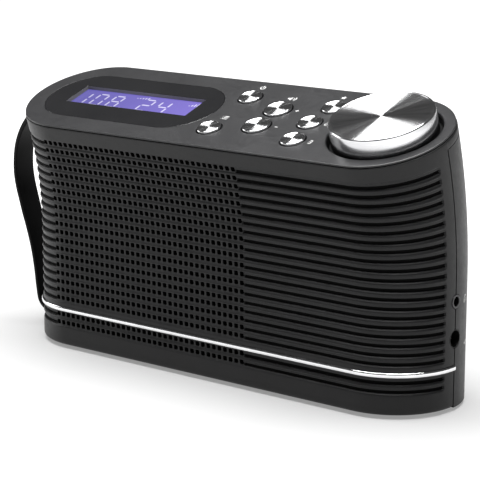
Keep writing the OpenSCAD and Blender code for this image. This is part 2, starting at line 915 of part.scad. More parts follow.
module carry_strap() {
    n = len(strap_path);
    points = [for (i = [0:n - 1], c = [[-1, -1], [1, -1], [1, 1], [-1, 1]])
                  let (q = strap_path[i] + strap_normal(i) * c[0] * strap_t / 2)
                  body_point(q[0], seam_v + c[1] * strap_w / 2, q[1])];
    sides = [for (i = [0:n - 2], c = [0:3])
                 let (a = 4 * i, d = (c + 1) % 4)
                 each [[a + c, a + 4 + c, a + 4 + d], [a + c, a + 4 + d, a + d]]];
    ends = [[0, 1, 2], [0, 2, 3],
            [4 * n - 2, 4 * n - 3, 4 * n - 4], [4 * n - 1, 4 * n - 2, 4 * n - 4]];
    placed() color("#101011") polyhedron(points, concat(sides, ends));
}

module strap_anchors() {
    placed() color("#9a9ca0") for (s = anchor_s)
        at_level(s) translate([anchor_x, seam_v - strap_w / 2 - 2, -2.4])
            cube([2, strap_w + 4, 4.8]);
}

module rubber_feet() {
    color("#0d0d0e") for (place = FEET)
        translate([body_x + place[0], body_y + place[1], 0]) cylinder(h = foot_h, r = 6);
}

module case_screws() {
    placed() color("#3a3c40") for (place = CASE_SCREWS)
        translate([place[0], seam_v - 12, place[1]]) rotate([-90, 0, 0]) screw(28, 2.8, 2);
}

front_shell();
rear_shell();
top_deck();
display_window();
lcd_glass();
lcd_frame();
lcd_backlight();
chrome_strip();
dial_skirt();
dial_cap();
encoder_shaft();
encoder_collar();
encoder_body();
on_off_button();
menu_button();
volume_up_button();
volume_down_button();
preset_1_button();
preset_2_button();
preset_3_button();
tact_switches();
control_board();
board_screws();
main_board();
tuner_module();
speaker_basket();
speaker_magnet();
speaker_cone();
speaker_surround();
speaker_dust_cap();
speaker_screws();
grille_cloth();
headphone_jack();
dc_socket();
jack_board();
battery_tray();
batteries();
battery_springs();
battery_contacts();
battery_door();
aerial_bracket();
aerial_barrel();
aerial_pin();
aerial_section_1();
aerial_section_2();
aerial_section_3();
aerial_section_4();
aerial_tip();
carry_strap();
strap_anchors();
rubber_feet();
case_screws();
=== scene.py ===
import math
import bpy
import bmesh
from mathutils import Matrix, Vector

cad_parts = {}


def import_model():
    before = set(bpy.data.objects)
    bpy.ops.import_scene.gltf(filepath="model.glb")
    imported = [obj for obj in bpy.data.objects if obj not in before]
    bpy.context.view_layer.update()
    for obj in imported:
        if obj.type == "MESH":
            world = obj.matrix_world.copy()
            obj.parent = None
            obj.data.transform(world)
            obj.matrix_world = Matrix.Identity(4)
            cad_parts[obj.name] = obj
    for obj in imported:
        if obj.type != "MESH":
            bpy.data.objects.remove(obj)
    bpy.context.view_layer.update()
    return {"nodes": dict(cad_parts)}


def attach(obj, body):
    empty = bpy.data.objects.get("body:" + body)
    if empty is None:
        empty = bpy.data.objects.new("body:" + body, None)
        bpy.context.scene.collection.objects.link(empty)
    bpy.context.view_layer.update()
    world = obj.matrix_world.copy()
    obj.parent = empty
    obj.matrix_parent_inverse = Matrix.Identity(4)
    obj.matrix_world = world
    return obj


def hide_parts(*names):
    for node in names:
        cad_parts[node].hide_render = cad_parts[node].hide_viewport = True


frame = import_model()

MM = 0.001
NODES = frame["nodes"]

# ---- the body's geometry, in millimetres ---------------------------------
BODY_W, BODY_D = 214.4, 59.0
MID_X = 1.3
BEND_R, STRAIGHT_H = 150.0, 50.5
LEAN = math.radians(19.5)
END_R = BODY_D / 2
SIDE_X = BODY_W / 2 - END_R
ROW_FRAME = Vector((9.61, -25.55, 1.5))
TOP_S = STRAIGHT_H + BEND_R * LEAN
RIM_S = TOP_S - 1.0
BAND_S = STRAIGHT_H + BEND_R * math.radians(18.0)
SKIN = 2.2
QUARTER = END_R * math.pi / 2
FRONT_U = 2 * QUARTER + 2 * SIDE_X
LOOP_U = 2 * FRONT_U
ROW_PITCH, FIRST_ROW, ROWS, STRIP_ROW = 3.75, 9.2, 23, 2
JACK_S, JACK_HOLE_R = 43.9, 3.1
SUPPLY_S, SUPPLY_HOLE_R = 28.6, 3.9
STRIP_S = FIRST_ROW + STRIP_ROW * ROW_PITCH
COLUMNS, FIRST_COLUMN, COLUMN_PITCH = 36, -80.3, 2.97


def body_point(x, v, s):
    """x across, v into the body, s up the front face, to the row frame in metres."""
    a = max(0.0, (s - STRAIGHT_H) / BEND_R)
    y = -BEND_R + (BEND_R + v) * math.cos(a)
    z = min(s, STRAIGHT_H) + (BEND_R + v) * math.sin(a)
    return (Vector((x, y, z)) + ROW_FRAME) * MM


def outline(u, inset=0.0):
    """A point of the body's plan: u runs round the edge from the left-hand seam."""
    u = u % LOOP_U
    r = END_R - inset
    left, right = MID_X - SIDE_X, MID_X + SIDE_X
    legs = ((QUARTER, left, math.pi), (2 * SIDE_X, None, inset), (2 * QUARTER, right, 1.5 * math.pi),
            (2 * SIDE_X, None, BODY_D - inset), (QUARTER, left, 0.5 * math.pi))
    for length, cx, start in legs:
        if u <= length + 1e-9:
            if cx is None:
                return (left + u if start == inset else right - u, start)
            a = start + u / END_R
            return (cx + r * math.cos(a), END_R + r * math.sin(a))
        u -= length
    return (left - r, END_R)


def skin_point(u, s, inset):
    x, v = outline(u, inset)
    return body_point(x, v, s)


DECK = (Matrix.Translation(body_point(0, 0, TOP_S)) @ Matrix.Rotation(LEAN, 4, "X"))
DIAL = (80.0, 29.5)


def deck_matrix(x, v, h=0.0):
    return DECK @ Matrix.Translation(Vector((x, v, h)) * MM)


# ---- mesh helpers ---------------------------------------------------------
SHARP = 32  # edges that bend more than this many degrees stay sharp


def make(name, verts, faces, materials, indices=None, matrix=None, sharp=SHARP, scale=1.0):
    mesh = bpy.data.meshes.new(name)
    mesh.from_pydata([Vector(p) * scale for p in verts], [], faces)
    for m in materials:
        mesh.materials.append(m)
    if indices:
        mesh.polygons.foreach_set("material_index", indices)
    bm = bmesh.new()
    bm.from_mesh(mesh)
    bmesh.ops.remove_doubles(bm, verts=bm.verts, dist=2e-6)
    bmesh.ops.recalc_face_normals(bm, faces=bm.faces)
    bm.to_mesh(mesh)
    bm.free()
    mesh.shade_smooth()
    mesh.set_sharp_from_angle(angle=math.radians(sharp))
    obj = bpy.data.objects.new(name, mesh)
    bpy.context.scene.collection.objects.link(obj)
    if matrix is not None:
        obj.matrix_world = matrix
    return obj


def even_normals(obj):
    m = obj.modifiers.new("normals", "WEIGHTED_NORMAL")
    m.keep_sharp = True
    m.weight = 60
    return obj


def grid(columns, rows, closed=False):
    """Faces of a grid of points stored row by row."""
    faces = []
    for j in range(rows - 1):
        for i in range(columns if closed else columns - 1):
            k = (i + 1) % columns
            faces.append((j * columns + i, j * columns + k, (j + 1) * columns + k, (j + 1) * columns + i))
    return faces


def revolve(name, profile, materials, matrix, segments, indices=None):
    """Turns a list of (radius, height) in millimetres; a radius of 0 closes an end."""
    verts, faces, slots = [], [], []
    rings = []
    for r, h in profile:
        if r < 1e-6:
            rings.append([len(verts)])
            verts.append((0, 0, h))
        else:
            rings.append(list(range(len(verts), len(verts) + segments)))
            for i in range(segments):
                a = 2 * math.pi * i / segments
                verts.append((r * math.cos(a), r * math.sin(a), h))
    for n, (lo, hi) in enumerate(zip(rings, rings[1:])):
        for i in range(segments):
            k = (i + 1) % segments
            if len(lo) == 1:
                faces.append((lo[0], hi[i], hi[k]))
            elif len(hi) == 1:
                faces.append((lo[i], hi[0], lo[k]))
            else:
                faces.append((lo[i], lo[k], hi[k], hi[i]))
            slots.append(indices[n] if indices else 0)
    return make(name, verts, faces, materials, slots, matrix, scale=MM)


def circle_loop(cx, cy, r, n):
    turns = [2 * math.pi * i / n for i in range(n)]
    return [(cx + r * math.cos(a), cy + r * math.sin(a)) for a in turns]


def stadium_loop(cx, cy, half, r, n=40):
    pts = []
    for i in range(n + 1):
        a = -math.pi / 2 + math.pi * i / n
        pts.append((cx + half + r * math.cos(a), cy + r * math.sin(a)))
    for i in range(n + 1):
        a = math.pi / 2 + math.pi * i / n
        pts.append((cx - half + r * math.cos(a), cy + r * math.sin(a)))
    return pts


def rounded_rect(cx, cy, w, d, r, n=5):
    pts = []
    for sx, sy, start in ((1, -1, -0.5), (1, 1, 0.0), (-1, 1, 0.5), (-1, -1, 1.0)):
        for i in range(n + 1):
            a = math.pi * (start + 0.5 * i / n)
            pts.append((cx + sx * (w / 2 - r) + r * math.cos(a), cy + sy * (d / 2 - r) + r * math.sin(a)))
    return pts


def plate(name, outer, holes, materials, matrix, fill_z=0.0):
    """A flat face bounded by loops, with rings of points running down from each loop.

    outer, and each of the holes, is a list of (loop, height) whose first entry lies in the face.
    """
    bm = bmesh.new()
    edges = []
    for rings in [outer] + holes:
        last = None
        for loop, h in rings:
            ring = [bm.verts.new((x * MM, y * MM, h * MM)) for x, y in loop]
            n = len(ring)
            if last is None:
                edges += [bm.edges.new((ring[i], ring[(i + 1) % n])) for i in range(n)]
            else:
                for i in range(n):
                    bm.faces.new((last[i], last[(i + 1) % n], ring[(i + 1) % n], ring[i]))
            last = ring
    bmesh.ops.triangle_fill(bm, use_beauty=True, use_dissolve=False, edges=edges)
    bmesh.ops.recalc_face_normals(bm, faces=bm.faces)
    flat = [f for f in bm.faces if abs(f.calc_center_median().z - fill_z * MM) < 1e-6]
    if flat and sum(f.normal.z for f in flat) < 0:
        bmesh.ops.reverse_faces(bm, faces=bm.faces)
    mesh = bpy.data.meshes.new(name)
    bm.to_mesh(mesh)
    bm.free()
    for m in materials:
        mesh.materials.append(m)
    mesh.shade_smooth()
    mesh.set_sharp_from_angle(angle=math.radians(SHARP))
    obj = bpy.data.objects.new(name, mesh)
    bpy.context.scene.collection.objects.link(obj)
    obj.matrix_world = matrix
    return even_normals(obj)


# ---- materials ------------------------------------------------------------
class Nodes:
    """Short calls for building one node tree."""

    def __init__(self, name, world=False):
        if world:
            self.mat = bpy.data.worlds.new(name)
            bpy.context.scene.world = self.mat
        else:
            self.mat = bpy.data.materials.new(name)
        self.mat.use_nodes = True
        self.tree = self.mat.node_tree
        self.tree.nodes.clear()

    def add(self, kind, inputs=(), **props):
        n = self.tree.nodes.new("ShaderNode" + kind)
        for k, val in props.items():
            setattr(n, k, val)
        for k, val in dict(inputs).items():
            self.set(n, k, val)
        return n

    def set(self, n, key, val):
        if hasattr(val, "is_linked") or hasattr(val, "links"):
            self.tree.links.new(val, n.inputs[key])
        else:
            n.inputs[key].default_value = val

    def coords(self):
        return self.add("TexCoord").outputs["Object"]

    def noise(self, vector, scale, detail=3.0, rough=0.55):
        return self.add("TexNoise", {"Vector": vector, "Scale": scale, "Detail": detail,
                                     "Roughness": rough}).outputs["Fac"]

    def ramp(self, fac, stops):
        n = self.add("ValToRGB", {"Fac": fac})
        while len(n.color_ramp.elements) < len(stops):
            n.color_ramp.elements.new(0.5)
        for e, (at, c) in zip(n.color_ramp.elements, stops):
            e.position = at
            e.color = (c, c, c, 1)
        return n.outputs["Color"]

    def span(self, val, a, b, c, d):
        return self.add("MapRange", {"Value": val, "From Min": a, "From Max": b, "To Min": c,
                                     "To Max": d}).outputs["Result"]

    def math(self, op, a, b=0.0):
        n = self.add("Math", operation=op)
        self.set(n, 0, a)
        self.set(n, 1, b)
        return n.outputs[0]

    def mix(self, fac, a, b):
        n = self.add("Mix", data_type="RGBA")
        self.set(n, 0, fac)
        self.set(n, 6, a if not isinstance(a, tuple) else (*a, 1))
        self.set(n, 7, b if not isinstance(b, tuple) else (*b, 1))
        return n.outputs[2]

    def bump(self, height, strength, distance, normal=None):
        n = self.add("Bump", {"Height": height, "Strength": strength, "Distance": distance})
        if normal is not None:
            self.set(n, "Normal", normal)
        return n.outputs["Normal"]

    def edge(self, radius):
        return self.add("Bevel", {"Radius": radius}, samples=4).outputs["Normal"]

    def surface(self, **inputs):
        names = {"color": "Base Color", "rough": "Roughness", "metal": "Metallic", "normal": "Normal",
                 "coat": "Coat Weight", "coat_rough": "Coat Roughness", "specular": "Specular IOR Level",
                 "aniso": "Anisotropic", "turn": "Anisotropic Rotation", "tangent": "Tangent",
                 "emit": "Emission Color", "power": "Emission Strength"}
        p = self.add("BsdfPrincipled")
        for k, val in inputs.items():
            if isinstance(val, tuple) and len(val) == 3 and k in ("color", "emit"):
                val = (*val, 1)
            self.set(p, names[k], val)
        out = self.add("OutputMaterial")
        self.tree.links.new(p.outputs[0], out.inputs[0])
        return self.mat


def moulded(name, dark, light, rough, grain=0.00006, grain_scale=2600, edge=0.0003, coat=0.0,
            specular=0.5):
    """Moulded plastic: spark-eroded grain, slow colour and gloss drift, rounded edges."""
    n = Nodes(name)
    c = n.coords()
    slow = n.noise(c, 45, 4)
    fine = n.noise(c, grain_scale, 2, 0.6)
    wear = n.noise(c, 420, 5, 0.7)
    colour = n.mix(n.ramp(slow, [(0.3, 0.0), (0.7, 1.0)]), dark, light)
    r = n.math("ADD", n.span(wear, 0.3, 0.7, rough - 0.05, rough + 0.06), n.span(slow, 0.3, 0.7, -0.02, 0.02))
    normal = n.bump(fine, 0.5, grain, n.edge(edge) if edge else None)
    return n.surface(color=colour, rough=r, normal=normal, coat=coat, coat_rough=0.05, specular=specular)


SPUN_TONE = (0.92, 0.92, 0.93)
# A quarter turn of the highlight, so that it runs across the rings and not along them.
ACROSS = 0.25


def spun(name, rough):
    """Turned metal: fine rings round the centre, with the tangent running round them."""
    n = Nodes(name)
    sep = n.add("SeparateXYZ", {"Vector": n.coords()})
    x, y = sep.outputs[0], sep.outputs[1]
    radius = n.math("SQRT", n.math("ADD", n.math("POWER", x, 2.0), n.math("POWER", y, 2.0)))
    angle = n.math("ARCTAN2", y, x)
    winding = n.add("CombineXYZ", {"X": n.math("MULTIPLY", radius, 5200.0),
                                   "Y": n.math("MULTIPLY", angle, 1.5)})
    rings = n.noise(winding.outputs[0], 1.0, 3, 0.6)
    slow = n.add("CombineXYZ", {"X": n.math("MULTIPLY", radius, 380.0), "Y": 3.0})
    drift = n.noise(slow.outputs[0], 1.0, 2)
    reach = n.math("ADD", radius, 0.00001)
    spoke = n.add("CombineXYZ", {"X": n.math("DIVIDE", x, reach), "Y": n.math("DIVIDE", y, reach),
                                 "Z": n.math("MULTIPLY", radius, 6.0)})
    rays = n.noise(spoke.outputs[0], 4.0, 4, 0.6)
    level = n.math("MULTIPLY", n.span(rings, 0.25, 0.75, 0.9, 1.0), n.span(rays, 0.3, 0.7, 0.6, 1.08))
    colour = n.mix(level, (0.0, 0.0, 0.0), SPUN_TONE)
    gloss = n.math("ADD", n.span(rings, 0.3, 0.7, rough - 0.003, rough + 0.003),
                   n.span(drift, 0.3, 0.7, -0.002, 0.002))
    tangent = n.add("Tangent", direction_type="RADIAL", axis="Z").outputs[0]
    return n.surface(color=colour, metal=1.0, rough=gloss, aniso=1.0, turn=ACROSS, tangent=tangent)


def metal(name, tone, rough, streak=0.0, axis=2):
    """Plain or brushed metal with fine scratches and a little smudging."""
    n = Nodes(name)
    c = n.coords()
    scale = tuple(60.0 if i == axis else 2200.0 for i in range(3))
    stretch = n.add("Mapping", {"Vector": c, "Scale": scale})
    lines = n.noise(stretch.outputs[0], 1.0, 3, 0.6)
    smudge = n.noise(c, 160, 4, 0.6)
    colour = n.mix(n.ramp(smudge, [(0.3, 0.0), (0.75, 1.0)]), tuple(t * 0.86 for t in tone), tone)
    r = n.math("ADD", n.span(smudge, 0.3, 0.75, max(rough - 0.03, 0.02), rough + 0.05),
               n.span(lines, 0.3, 0.7, -streak, streak))
    return n.surface(color=colour, metal=1.0, rough=r,
                     normal=n.bump(lines, 0.15 if streak else 0.04, 0.00002, n.edge(0.0002)))


SHELL = moulded("shell_plastic", (0.006, 0.006, 0.0063), (0.009, 0.009, 0.0094), 0.44, specular=0.3)
# Near-black painted shade for the sound-hole walls, the deep groove floors, the seams and the socket bores,
# where light does not reach.
PAINTED_SHADE = moulded("painted_shade_black", (0.0006, 0.0006, 0.0006), (0.0012, 0.0012, 0.0012), 0.85, edge=0, specular=0.1)
# Dark grey deck plastic, kept about twice as light as the shell partly as painted light for the top that
# faces the overhead lamp.
DECK_GREY_AND_PAINTED_LIGHT = moulded("deck_plastic", (0.014, 0.014, 0.0152), (0.019, 0.019, 0.0203), 0.38, grain=0.00005)
# Black plastic for the dial's well, made much darker than the deck partly as painted shade for the deep
# recess round the dial.
WELL_BLACK_AND_PAINTED_SHADE = moulded("well_black_and_painted_shade", (0.0015, 0.0015, 0.0015), (0.003, 0.003, 0.003), 0.5, specular=0.2)
WINDOW = moulded("window_gloss", (0.010, 0.010, 0.011), (0.013, 0.013, 0.014), 0.13, grain=0.000004,
                 grain_scale=600, edge=0.0002, coat=0.6)
DARK = moulded("dark_plastic", (0.012, 0.012, 0.013), (0.018, 0.018, 0.019), 0.45)
RUBBER = moulded("soft_rubber", (0.010, 0.010, 0.010), (0.016, 0.016, 0.016), 0.7, grain=0.0001)
SPUN = spun("spun_metal", 0.27)
SPUN_SMALL = spun("spun_metal_small", 0.25)
POLISHED = metal("polished_metal", (0.82, 0.82, 0.83), 0.1, 0.03)
CHROME = metal("bright_trim", (0.93, 0.93, 0.94), 0.06, axis=0)
STEEL = metal("zinc_steel", (0.55, 0.55, 0.57), 0.32, 0.08)
BLACK_STEEL = metal("black_steel", (0.05, 0.05, 0.052), 0.4, 0.05)
BRASS = metal("brass", (0.72, 0.55, 0.26), 0.28, 0.05)


def brushed_side(name):
    """The dial's wall: brushed round the axis."""
    n = Nodes(name)
    c = n.coords()
    stretch = n.add("Mapping", {"Vector": c, "Scale": (40.0, 40.0, 5000.0)})
    lines = n.noise(stretch.outputs[0], 1.0, 3, 0.6)
    smudge = n.noise(c, 120, 3)
    colour = n.mix(n.ramp(lines, [(0.25, 0.0), (0.75, 1.0)]), (0.62, 0.62, 0.63), (0.8, 0.8, 0.81))
    r = n.math("ADD", n.span(lines, 0.3, 0.7, 0.13, 0.19), n.span(smudge, 0.3, 0.7, -0.02, 0.02))
    tangent = n.add("Tangent", direction_type="RADIAL", axis="Z").outputs[0]
    return n.surface(color=colour, metal=1.0, rough=r, aniso=0.5, turn=ACROSS, tangent=tangent,
                     normal=n.bump(lines, 0.1, 0.00002))


def printed(name):
    """Pad-printed ink, slightly uneven."""
    n = Nodes(name)
    tone = (0.75, 0.75, 0.74)
    speck = n.noise(n.coords(), 5000, 2)
    colour = n.mix(n.ramp(speck, [(0.3, 0.0), (0.6, 1.0)]), tuple(t * 0.8 for t in tone), tone)
    return n.surface(color=colour, rough=n.span(speck, 0.3, 0.7, 0.42, 0.55),
                     normal=n.bump(speck, 0.2, 0.00001))


DOT_PITCH, LCD_HALF = 0.0005, 0.035


def display(name, base, grain):
    """Backlit display: a fine dot grid under a glow that strengthens to one side."""
    n = Nodes(name)
    sep = n.add("SeparateXYZ", {"Vector": n.coords()})
    wave = 2 * math.pi / DOT_PITCH
    gx = n.math("SINE", n.math("MULTIPLY", sep.outputs[0], wave))
    gy = n.math("SINE", n.math("MULTIPLY", sep.outputs[1], wave))
    dots = n.span(n.math("MULTIPLY", gx, gy), -1.0, 1.0, 1.0 - grain, 1.0)
    glow = n.span(sep.outputs[0], -LCD_HALF, LCD_HALF, 0.86, 1.12)
    soft = n.span(n.noise(n.coords(), 40, 2), 0.3, 0.7, 0.95, 1.05)
    level = n.math("MULTIPLY", n.math("MULTIPLY", dots, glow), soft)
    lit = n.mix(n.span(sep.outputs[0], -LCD_HALF, LCD_HALF, 0.0, 1.0), base[0], base[1])
    colour = n.add("VectorMath", {0: lit}, operation="SCALE")
    n.set(colour, "Scale", level)
    return n.surface(color=(0.02, 0.02, 0.03), rough=0.25, emit=colour.outputs[0], power=1.0)


SIDE = brushed_side("brushed_metal")
INK = printed("white_ink")
LCD = display("lcd_glow", ((0.125, 0.105, 0.47), (0.20, 0.15, 0.60)), 0.12)
GLYPH = display("lcd_characters", ((0.62, 0.60, 0.85), (0.72, 0.68, 0.95)), 0.05)
LCD_EDGE = moulded("lcd_edge", (0.16, 0.16, 0.14), (0.21, 0.21, 0.19), 0.5, edge=0)


def strap_material():
    """Soft strap: pebbled grain with a finer pore between."""
    n = Nodes("strap_rubber")
    c = n.coords()
    pebble = n.add("TexVoronoi", {"Vector": c, "Scale": 1500.0}, feature="SMOOTH_F1").outputs["Distance"]
    fine = n.noise(c, 4200, 3)
    slow = n.noise(c, 90, 4)
    colour = n.mix(n.ramp(slow, [(0.3, 0.0), (0.7, 1.0)]), (0.002, 0.002, 0.002), (0.0045, 0.0045, 0.0046))
    height = n.math("ADD", n.math("MULTIPLY", pebble, 0.8), n.math("MULTIPLY", fine, 0.3))
    return n.surface(color=colour, rough=n.span(slow, 0.3, 0.7, 0.5, 0.6),
                     normal=n.bump(height, 0.35, 0.00012), specular=0.09)


STRAP_MAT = strap_material()


def board_material():
    n = Nodes("board")
    c = n.coords()
    weave = n.add("TexBrick", {"Vector": c, "Scale": 600.0}).outputs["Fac"]
    tracks = n.add("TexVoronoi", {"Vector": c, "Scale": 140.0}, distance="CHEBYCHEV").outputs["Distance"]
    colour = n.mix(n.ramp(tracks, [(0.35, 0.0), (0.4, 1.0)]), (0.012, 0.075, 0.03), (0.02, 0.12, 0.05))
    return n.surface(color=colour, rough=n.span(weave, 0, 1, 0.3, 0.42), normal=n.bump(weave, 0.2, 0.00003))


def cloth_material():
    n = Nodes("grille_cloth")
    sep = n.add("SeparateXYZ", {"Vector": n.coords()})
    a = n.math("SINE", n.math("MULTIPLY", sep.outputs[0], 9000.0))
    b = n.math("SINE", n.math("MULTIPLY", sep.outputs[2], 9000.0))
    h = n.math("ADD", a, b)
    colour = n.mix(n.span(h, -2, 2, 0, 1), (0.001, 0.001, 0.001), (0.004, 0.004, 0.004))
    return n.surface(color=colour, rough=0.9, normal=n.bump(h, 0.4, 0.00005))


def cell_material():
    n = Nodes("cell_jacket")
    sep = n.add("SeparateXYZ", {"Vector": n.coords()})
    band = n.math("SINE", n.math("MULTIPLY", sep.outputs[0], 125.7))
    mark = n.ramp(n.span(band, -1, 1, 0, 1), [(0.2, 0.0), (0.24, 1.0)])
    colour = n.mix(mark, (0.55, 0.56, 0.56), (0.07, 0.17, 0.07))
    return n.surface(color=colour, rough=n.span(n.noise(n.coords(), 300), 0.3, 0.7, 0.22, 0.34), metal=0.3,
                     normal=n.edge(0.0004))


def paper_material():
    n = Nodes("cone_paper")
    f = n.noise(n.coords(), 900, 5, 0.7)
    colour = n.mix(f, (0.012, 0.012, 0.012), (0.03, 0.03, 0.031))
    return n.surface(color=colour, rough=0.85, normal=n.bump(f, 0.5, 0.0002))


BOARD, CLOTH, CELL, PAPER = board_material(), cloth_material(), cell_material(), paper_material()

FINISH = {"rear_shell": SHELL, "battery_door": SHELL, "lcd_frame": STEEL, "lcd_backlight": LCD_EDGE,
          "encoder_shaft": STEEL, "encoder_collar": BRASS, "encoder_body": DARK, "tact_switches": DARK,
          "control_board": BOARD, "main_board": BOARD, "jack_board": BOARD, "board_screws": STEEL,
          "tuner_module": STEEL, "speaker_basket": BLACK_STEEL, "speaker_magnet": BLACK_STEEL,
          "speaker_cone": PAPER, "speaker_dust_cap": PAPER, "speaker_surround": RUBBER,
          "speaker_screws": STEEL, "grille_cloth": CLOTH, "headphone_jack": DARK, "dc_socket": DARK,
          "battery_tray": DARK, "batteries": CELL, "battery_springs": STEEL, "battery_contacts": STEEL,
          "strap_anchors": STEEL, "rubber_feet": RUBBER, "case_screws": BLACK_STEEL}
for name, obj in NODES.items():
    mat = FINISH.get(name, POLISHED if name.startswith("aerial") else DARK)
    if name in ("aerial_bracket", "aerial_pin"):
        mat = STEEL
    obj.data.materials.clear()
    obj.data.materials.append(mat)


# ---- front shell ----------------------------------------------------------
# Across one row: a bulging rib, a narrow deep groove, then a shallow step that holds the upper
# part of the sound holes; the holes reach down into the groove. (distance up from the row, depth)
PROFILE = [(-1.15, 0.0), (-0.86, 0.06), (-0.62, 0.17), (-0.42, 0.32), (-0.27, 0.50), (-0.17, 0.76),
           (-0.10, 1.15), (0.16, 1.15), (0.60, 1.15), (1.14, 1.15), (1.20, 0.70), (1.24, 0.48),
           (1.30, 0.42), (1.72, 0.40), (2.12, 0.42), (2.20, 0.34), (2.30, 0.17), (2.42, 0.05), (2.56, 0.0)]
HOLE_BOTTOM, HOLE_TOP, HOLE_W, HOLE_CORNER = 0.16, 2.12, 1.02, 0.30
FIELD_DEPTH = 0.52
GROOVE_END_V = 23.2
GROOVE_END_U = END_R * math.asin((END_R - GROOVE_END_V) / END_R)
CAP_C, CAP_R = 0.65, 1.85
SOCKET_HOLES = ((JACK_S, JACK_HOLE_R), (SUPPLY_S, SUPPLY_HOLE_R))
SEAM_W, SEAM_DEPTH = 0.62, 0.8
FOOT_R = 1.6
FIELD_U = QUARTER + SIDE_X - MID_X + FIRST_COLUMN
STRIP_BED = ((-1.1, 0.0), (-1.1, 0.5), (1.1, 0.5), (1.1, 0.0))
# The shell's upper edge: (distance down from the rim, distance in).
RIM = ((0.35, 0.03), (0.15, 0.12), (0.04, 0.3), (0.0, 0.55), (0.0, SKIN), (3.0, SKIN))


def groove_share(u, offset):
    """How much of the groove's depth is left near its rounded ends."""
    inside = min(u - GROOVE_END_U, FRONT_U - GROOVE_END_U - u)
    if inside >= CAP_R:
        return 1.0
    reach = CAP_R - math.hypot(CAP_R - inside, offset - CAP_C)
    return max(0.0, min(1.0, reach / 0.3))


def clear_of_sockets(u, s):
    """Pushes a point out of the two socket holes that straddle the right-hand seam."""
    for height, r in SOCKET_HOLES:
        du, ds = u - FRONT_U, s - height
        reach = math.hypot(du, ds)
        if reach < r:
            if reach < 1e-6:
                ds, reach = 1.0, 1.0
            return FRONT_U + du * r / reach, height + ds * r / reach, True
    return u, s, False


def skin_columns():
    """Where the skin's columns of points stand, and the first column of each sound hole."""
    ends = [i * 0.27 for i in range(-2, 9)]
    us = [0.0, 0.6, 0.66, 2.0, 4.5] + [GROOVE_END_U + e for e in ends]
    us += [GROOVE_END_U + 3.4 + i * 1.55 for i in range(22)]
    middles = [FIELD_U + c * COLUMN_PITCH for c in range(COLUMNS)]
    us = [u for u in us if all(abs(u - middle) > 1.4 for middle in middles)]
    starts = []
    for middle in middles:
        starts.append(len(us))
        us += [middle - HOLE_W, middle - HOLE_W + HOLE_CORNER,
               middle + HOLE_W - HOLE_CORNER, middle + HOLE_W]
    last = us[-1]
    flat_end = QUARTER + 2 * SIDE_X
    us += [last + 0.25] + [last + (flat_end - last) * i / 6 for i in range(1, 7)]
    us += [flat_end + 1.9 * i for i in range(1, 20) if flat_end + 1.9 * i < FRONT_U - GROOVE_END_U - 2.5]
    us += [FRONT_U - GROOVE_END_U - e for e in reversed(ends)]
    us += [FRONT_U - 5.0, FRONT_U - 4.4] + [FRONT_U - 4.0 + 0.3 * i for i in range(11)]
    us += [FRONT_U - 0.66, FRONT_U - 0.6, FRONT_U - 0.25, FRONT_U]
    return us, starts


def skin_levels():
    """Levels as (s, inset, place in the row, groove depth), and the levels that each hole row spans."""
    levels = [(0.0, 8.0, None, None)]
    for k in range(6):
        a = math.pi / 2 * k / 5
        levels.append((FOOT_R * (1 - math.cos(a)), FOOT_R * (1 - math.sin(a)), None, None))
    rows = []
    for i in range(ROWS):
        s = FIRST_ROW + i * ROW_PITCH
        if i == STRIP_ROW:
            levels += [(s + rise, inset, None, None) for rise, inset in STRIP_BED]
            continue
        for offset, depth in PROFILE:
            if offset == HOLE_BOTTOM:
                start = len(levels)
            if offset == HOLE_TOP:
                rows.append((start, len(levels)))
            levels.append((s + offset, 0.0, offset, depth))
    levels += [(s, 0.0, None, None) for s in (95.0, BAND_S - 0.25, BAND_S + 0.05, RIM_S - 0.6)]
    levels += [(RIM_S - drop, inset, None, None) for drop, inset in RIM]
    return levels, rows


def skin_depth(u, level, field):
    """How far in from the plan's edge the skin lies at a column and a level."""
    s, depth, offset, groove = level
    if offset is not None:
        if field[0] < u < field[1]:
            depth += min(groove, FIELD_DEPTH)
        else:
            depth += groove * groove_share(u, offset)
    if s < BAND_S - 0.2 and min(u, FRONT_U - u) < SEAM_W:
        depth += SEAM_DEPTH
    return depth


def painted_shade_face(u0, u1, low, high, field):
    """Whether a face lies on a groove's floor or in a seam, where it takes the near-black painted shade."""
    deep = min(low[3] or 0, high[3] or 0) > 1 and not field[0] < u0 < field[1]
    deep = deep and min(groove_share(u0, 0.5), groove_share(u1, 0.5)) > 0.6
    seam = low[0] < BAND_S - 0.2 and (u1 < 0.7 or u0 > FRONT_U - 0.7)
    return deep or seam


def hole_edge(n, j0, j1, i0):
    """The ring of points round one sound hole, and the triangles that round its corners."""
    def at(j, k):
        return j * n + i0 + k
    ring = [at(j0, 1), at(j0, 2)] + [at(j, 3) for j in range(j0 + 1, j1)]
    ring += [at(j1, 2), at(j1, 1)] + [at(j, 0) for j in range(j1 - 1, j0, -1)]
    corners = [(at(j0, 0), at(j0, 1), at(j0 + 1, 0)), (at(j0, 3), at(j0 + 1, 3), at(j0, 2)),
               (at(j1, 0), at(j1 - 1, 0), at(j1, 1)), (at(j1, 3), at(j1, 2), at(j1 - 1, 3))]
    return ring, corners


def hole_wall(verts, ring, u, s):
    """The wall of one sound hole, which narrows on its way in."""
    out = skin_point(u, s, 0.0)
    inward = (skin_point(u, s, SKIN) - out) / SKIN
    faces = []
    previous = ring
    for depth, squeeze in ((0.10, 0.97), (2.0, 0.93)):
        base = len(verts)
        for r in ring:
            p = verts[r]
            q = out + inward * ((p - out).dot(inward) / inward.dot(inward))
            verts.append(q + (p - q) * squeeze + inward * depth)
        new = list(range(base, base + len(ring)))
        for i in range(len(ring)):
            k = (i + 1) % len(ring)
            faces.append((previous[i], previous[k], new[k], new[i]))
        previous = new
    return faces


